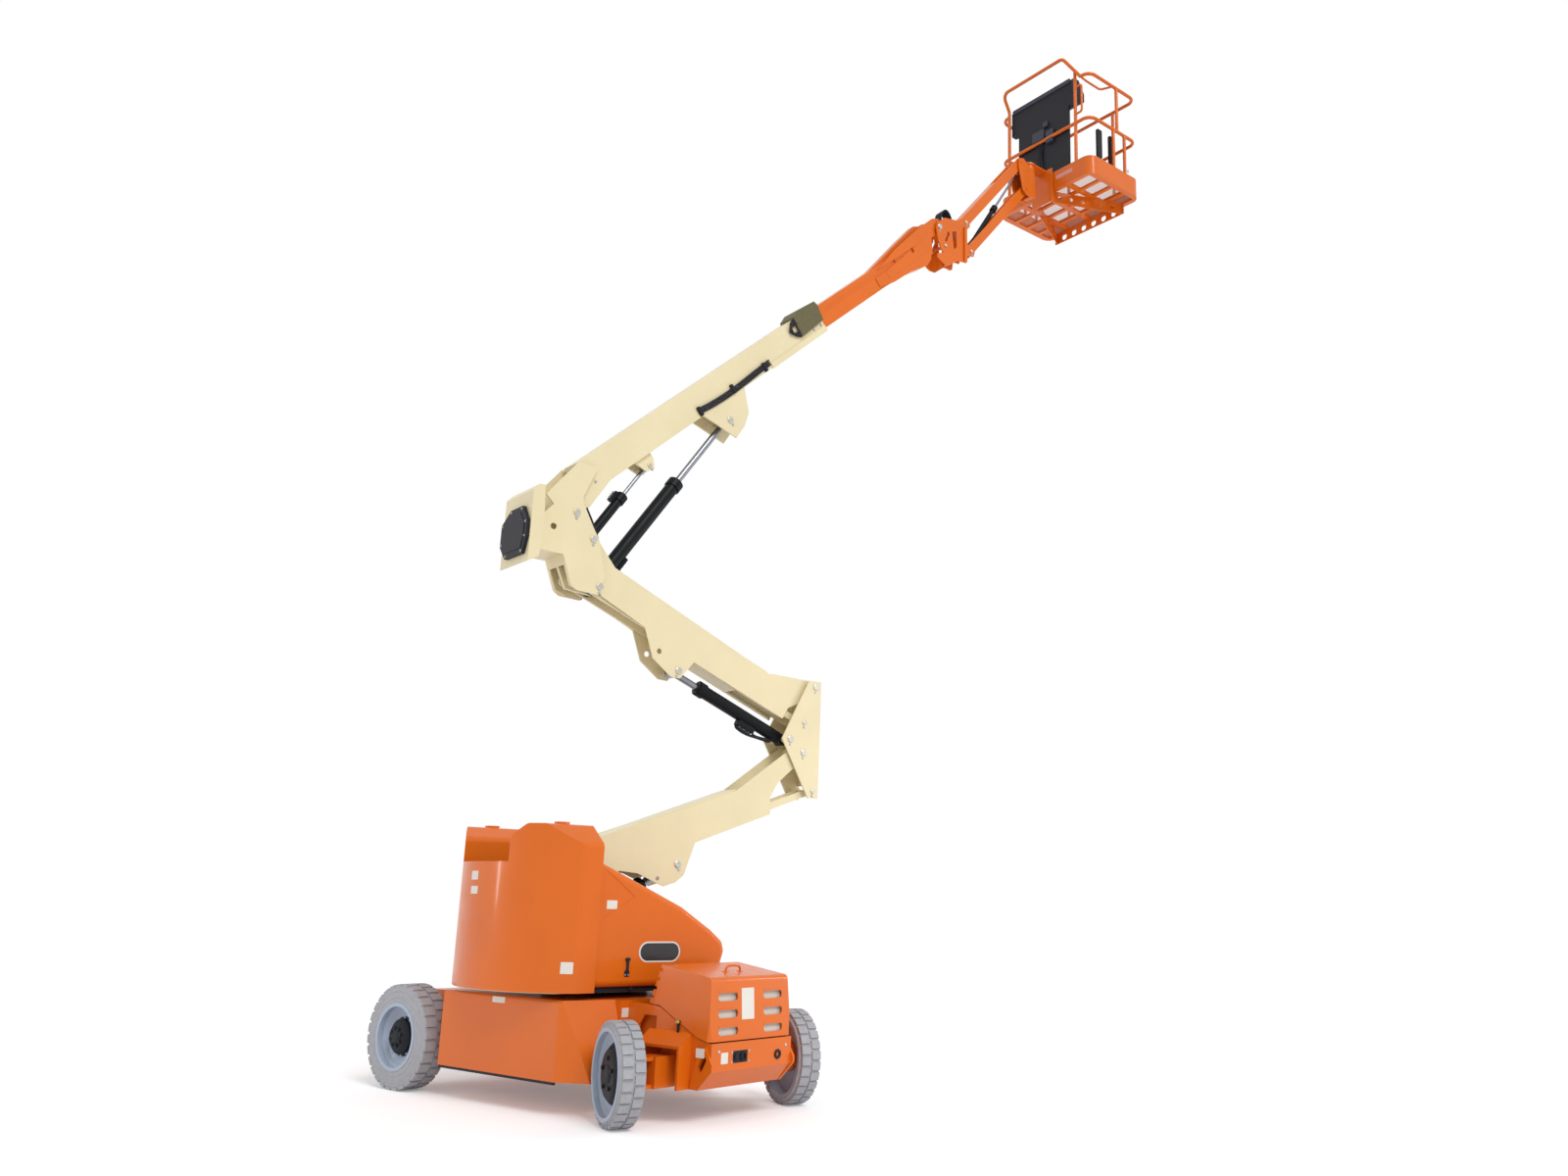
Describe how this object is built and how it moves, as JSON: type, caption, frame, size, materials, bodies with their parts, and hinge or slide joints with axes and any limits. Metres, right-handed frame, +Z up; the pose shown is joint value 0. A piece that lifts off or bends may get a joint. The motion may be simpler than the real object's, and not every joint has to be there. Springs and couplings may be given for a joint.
{
  "type": "articulating boom lift",
  "caption": "Self-propelled lift with a twin-riser arm stack, telescopic main boom, parallelogram jib and a railed work platform on a swinging turntable.",
  "frame": {"origin": "on the ground under the swing axis of the turntable", "axes": "+X the way the chassis drives forward, towards the steered wheels, +Y to its left, +Z up"},
  "size_m": [2.97, 5.9654, 9.389],
  "materials": {
    "orange_paint": "gloss",
    "cream_paint": "gloss",
    "dark_plastic": "satin",
    "dark_steel": "matte",
    "weight_iron": "rough",
    "tyre_grey": "matte",
    "rim_paint": "satin",
    "rubber_strip": "matte",
    "cylinder_black": "gloss",
    "rod_chrome": "polished",
    "mesh_steel": "satin",
    "khaki_plastic": "satin"
  },
  "bodies": {
    "chassis": {"chassis_frame": "orange_paint", "front_frame": "orange_paint", "side_cover_left": "orange_paint", "side_cover_right": "orange_paint", "cover_strip_left": "rubber_strip", "cover_strip_right": "rubber_strip", "power_hood": "orange_paint", "power_pack": "dark_steel", "front_axle": "orange_paint", "rear_axle": "dark_steel", "swing_bearing": "dark_steel"},
    "knuckle_right": {"knuckle_right": "orange_paint"},
    "knuckle_left": {"knuckle_left": "orange_paint"},
    "turntable": {"turntable": "cream_paint", "counterweight": "weight_iron", "rear_hood": "orange_paint", "side_hood_right": "orange_paint", "side_hood_left": "orange_paint"},
    "upright": {"upright": "cream_paint", "rear_cover": "dark_plastic"},
    "main_boom": {"main_boom": "cream_paint", "hose_guide": "khaki_plastic"},
    "platform": {"platform_pan": "orange_paint", "platform_floor": "mesh_steel", "platform_support": "orange_paint", "platform_rails": "orange_paint", "control_console": "dark_plastic"},
    "front_wheel_right": {"tyre_front_right": "tyre_grey", "rim_front_right": "rim_paint"},
    "front_wheel_left": {"tyre_front_left": "tyre_grey", "rim_front_left": "rim_paint"},
    "rear_wheel_right": {"tyre_rear_right": "tyre_grey", "rim_rear_right": "rim_paint"},
    "rear_wheel_left": {"tyre_rear_left": "tyre_grey", "rim_rear_left": "rim_paint"},
    "lower_arm": {"lower_arm": "cream_paint"},
    "lower_link": {"lower_link": "cream_paint"},
    "riser": {"riser": "cream_paint"},
    "mid_arm": {"mid_arm": "cream_paint"},
    "mid_link": {"mid_link": "cream_paint"},
    "fly_boom": {"fly_boom": "orange_paint"},
    "jib_bracket": {"jib_bracket": "orange_paint"},
    "jib_upper_arm": {"jib_upper_arm": "orange_paint"},
    "jib_lower_arm": {"jib_lower_arm": "orange_paint"},
    "jib_head": {"jib_head": "orange_paint"},
    "lower_lift_barrel": {"lower_lift_barrel": "cylinder_black"},
    "lower_lift_rod": {"lower_lift_rod": "rod_chrome"},
    "mid_lift_barrel": {"mid_lift_barrel": "cylinder_black"},
    "mid_lift_rod": {"mid_lift_rod": "rod_chrome"},
    "main_lift_barrel": {"main_lift_barrel": "cylinder_black"},
    "main_lift_rod": {"main_lift_rod": "rod_chrome"},
    "levelling_barrel": {"levelling_barrel": "cylinder_black"},
    "levelling_rod": {"levelling_rod": "rod_chrome"},
    "jib_barrel": {"jib_barrel": "cylinder_black"},
    "jib_rod": {"jib_rod": "rod_chrome"}
  },
  "joints": [
    {"name": "steer_right", "type": "hinge", "parent": "chassis", "child": "knuckle_right", "pos_m": [1.05, -0.562, 0.2795], "axis": [0, 0, 1], "range_deg": [-14, 58]},
    {"name": "steer_left", "type": "hinge", "parent": "chassis", "child": "knuckle_left", "pos_m": [1.05, 0.562, 0.2795], "axis": [0, 0, 1], "range_deg": [-12.25, 50.75]},
    {"name": "front_wheel_right_spin", "type": "hinge", "parent": "knuckle_right", "child": "front_wheel_right", "pos_m": [1.00363, -0.66614, 0.2795], "axis": [0.4067, 0.9135, 0], "continuous": true},
    {"name": "rear_wheel_right_spin", "type": "hinge", "parent": "chassis", "child": "rear_wheel_right", "pos_m": [-1.013, -0.648, 0.32], "axis": [0, 1, 0], "continuous": true},
    {"name": "front_wheel_left_spin", "type": "hinge", "parent": "knuckle_left", "child": "front_wheel_left", "pos_m": [1.09085, 0.66843, 0.2795], "axis": [0.3584, 0.9336, 0], "continuous": true},
    {"name": "rear_wheel_left_spin", "type": "hinge", "parent": "chassis", "child": "rear_wheel_left", "pos_m": [-1.013, 0.648, 0.32], "axis": [0, 1, 0], "continuous": true},
    {"name": "swing", "type": "hinge", "parent": "chassis", "child": "turntable", "pos_m": [0, 0, 0.65], "axis": [0, 0, 1], "range_deg": [-78, 282]},
    {"name": "lower_lift", "type": "hinge", "parent": "turntable", "child": "lower_arm", "pos_m": [-0.09294, -0.43723, 1.559], "axis": [0.9781, -0.2079, 0], "range_deg": [-17, 45]},
    {"name": "lower_link_turn", "type": "hinge", "parent": "turntable", "child": "lower_link", "pos_m": [-0.07277, -0.34235, 1.283], "axis": [0.9781, -0.2079, 0], "range_deg": [-17, 45]},
    {"name": "riser_level", "type": "hinge", "parent": "lower_arm", "child": "riser", "pos_m": [0.31443, 1.47925, 2.2721], "axis": [0.9781, -0.2079, 0], "range_deg": [-45, 17]},
    {"name": "mid_lift", "type": "hinge", "parent": "riser", "child": "mid_arm", "pos_m": [0.33459, 1.57413, 2.7701], "axis": [-0.9781, 0.2079, 0], "range_deg": [-18, 45]},
    {"name": "mid_link_turn", "type": "hinge", "parent": "riser", "child": "mid_link", "pos_m": [0.31443, 1.47925, 2.4941], "axis": [-0.9781, 0.2079, 0], "range_deg": [-18, 45]},
    {"name": "upright_level", "type": "hinge", "parent": "mid_arm", "child": "upright", "pos_m": [-0.06846, -0.3221, 3.5377], "axis": [-0.9781, 0.2079, 0], "range_deg": [-45, 18]},
    {"name": "main_lift", "type": "hinge", "parent": "upright", "child": "main_boom", "pos_m": [-0.09695, -0.45611, 3.6967], "axis": [0.9781, -0.2079, 0], "range_deg": [-45, 30]},
    {"name": "telescope", "type": "slide", "parent": "main_boom", "child": "fly_boom", "axis": [0.1526, 0.7177, 0.6794], "range_m": [-0.75, 0.45]},
    {"name": "bracket_level", "type": "hinge", "parent": "fly_boom", "child": "jib_bracket", "pos_m": [0.59111, 2.78097, 7.0815], "axis": [0.9781, -0.2079, 0], "range_deg": [-30, 45]},
    {"name": "jib_lift", "type": "hinge", "parent": "jib_bracket", "child": "jib_upper_arm", "pos_m": [0.65952, 3.10278, 7.2465], "axis": [0.9781, -0.2079, 0], "range_deg": [-111, 33]},
    {"name": "jib_lower_turn", "type": "hinge", "parent": "jib_bracket", "child": "jib_lower_arm", "pos_m": [0.67407, 3.17125, 6.9815], "axis": [0.9781, -0.2079, 0], "range_deg": [-111, 33]},
    {"name": "head_level", "type": "hinge", "parent": "jib_upper_arm", "child": "jib_head", "pos_m": [0.82071, 3.86114, 8.2142], "axis": [0.9781, -0.2079, 0], "range_deg": [-33, 111]},
    {"name": "platform_rotate", "type": "hinge", "parent": "jib_head", "child": "platform", "pos_m": [0.85606, 4.02743, 8.0092], "axis": [0, 0, 1], "range_deg": [-90, 90]},
    {"name": "lower_lift_barrel_turn", "type": "hinge", "parent": "turntable", "child": "lower_lift_barrel", "pos_m": [-0.07901, -0.3717, 0.87], "axis": [0.9781, -0.2079, 0], "range_deg": [-11.12, 29.43]},
    {"name": "lower_lift_rod_slide", "type": "slide", "parent": "lower_lift_barrel", "child": "lower_lift_rod", "axis": [0.1749, 0.8231, 0.5403], "range_m": [-0.16364, 0.433]},
    {"name": "mid_lift_barrel_turn", "type": "hinge", "parent": "riser", "child": "mid_lift_barrel", "pos_m": [0.28864, 1.35796, 2.3631], "axis": [0.9781, -0.2079, 0], "range_deg": [-43.17, 17.27]},
    {"name": "mid_lift_rod_slide", "type": "slide", "parent": "mid_lift_barrel", "child": "mid_lift_rod", "axis": [-0.1933, -0.9092, 0.3688], "range_m": [-0.13852, 0.34616]},
    {"name": "main_lift_barrel_turn", "type": "hinge", "parent": "upright", "child": "main_lift_barrel", "pos_m": [-0.05329, -0.2507, 3.2227], "axis": [0.9781, -0.2079, 0], "range_deg": [-39.28, 26.19]},
    {"name": "main_lift_rod_slide", "type": "slide", "parent": "main_lift_barrel", "child": "main_lift_rod", "axis": [0.1168, 0.5494, 0.8273], "range_m": [-0.35671, 0.23784]},
    {"name": "levelling_barrel_turn", "type": "hinge", "parent": "upright", "child": "levelling_barrel", "pos_m": [-0.06846, -0.3221, 3.5377], "axis": [0.9781, -0.2079, 0], "range_deg": [-43.21, 28.81]},
    {"name": "levelling_rod_slide", "type": "slide", "parent": "levelling_barrel", "child": "levelling_rod", "axis": [0.1148, 0.5399, 0.8339], "range_m": [-0.15442, 0.10298]},
    {"name": "jib_barrel_turn", "type": "hinge", "parent": "jib_bracket", "child": "jib_barrel", "pos_m": [0.67407, 3.17125, 6.9815], "axis": [0.9781, -0.2079, 0], "range_deg": [-109.07, 32.43]},
    {"name": "jib_rod_slide", "type": "slide", "parent": "jib_barrel", "child": "jib_rod", "axis": [0.1097, 0.5162, 0.8494], "range_m": [-0.41656, 0.12391]}
  ],
  "couplings": [
    {"joint": "steer_left", "follows": "steer_right", "ratio": 0.875},
    {"joint": "lower_link_turn", "follows": "lower_lift", "ratio": 1},
    {"joint": "riser_level", "follows": "lower_lift", "ratio": -1},
    {"joint": "mid_link_turn", "follows": "mid_lift", "ratio": 1},
    {"joint": "upright_level", "follows": "mid_lift", "ratio": -1},
    {"joint": "bracket_level", "follows": "main_lift", "ratio": -1},
    {"joint": "jib_lower_turn", "follows": "jib_lift", "ratio": 1},
    {"joint": "head_level", "follows": "jib_lift", "ratio": -1},
    {"joint": "lower_lift_barrel_turn", "follows": "lower_lift", "ratio": 0.65373},
    {"joint": "lower_lift_rod_slide", "follows": "lower_lift", "m_per_rad": 0.55118},
    {"joint": "mid_lift_barrel_turn", "follows": "mid_lift", "ratio": -0.95908},
    {"joint": "mid_lift_rod_slide", "follows": "mid_lift", "m_per_rad": 0.44062},
    {"joint": "main_lift_barrel_turn", "follows": "main_lift", "ratio": 0.87273},
    {"joint": "main_lift_rod_slide", "follows": "main_lift", "m_per_rad": 0.45405},
    {"joint": "levelling_barrel_turn", "follows": "main_lift", "ratio": 0.95998},
    {"joint": "levelling_rod_slide", "follows": "main_lift", "m_per_rad": 0.19649},
    {"joint": "jib_barrel_turn", "follows": "jib_lift", "ratio": 0.98252},
    {"joint": "jib_rod_slide", "follows": "jib_lift", "m_per_rad": 0.21497}
  ]
}
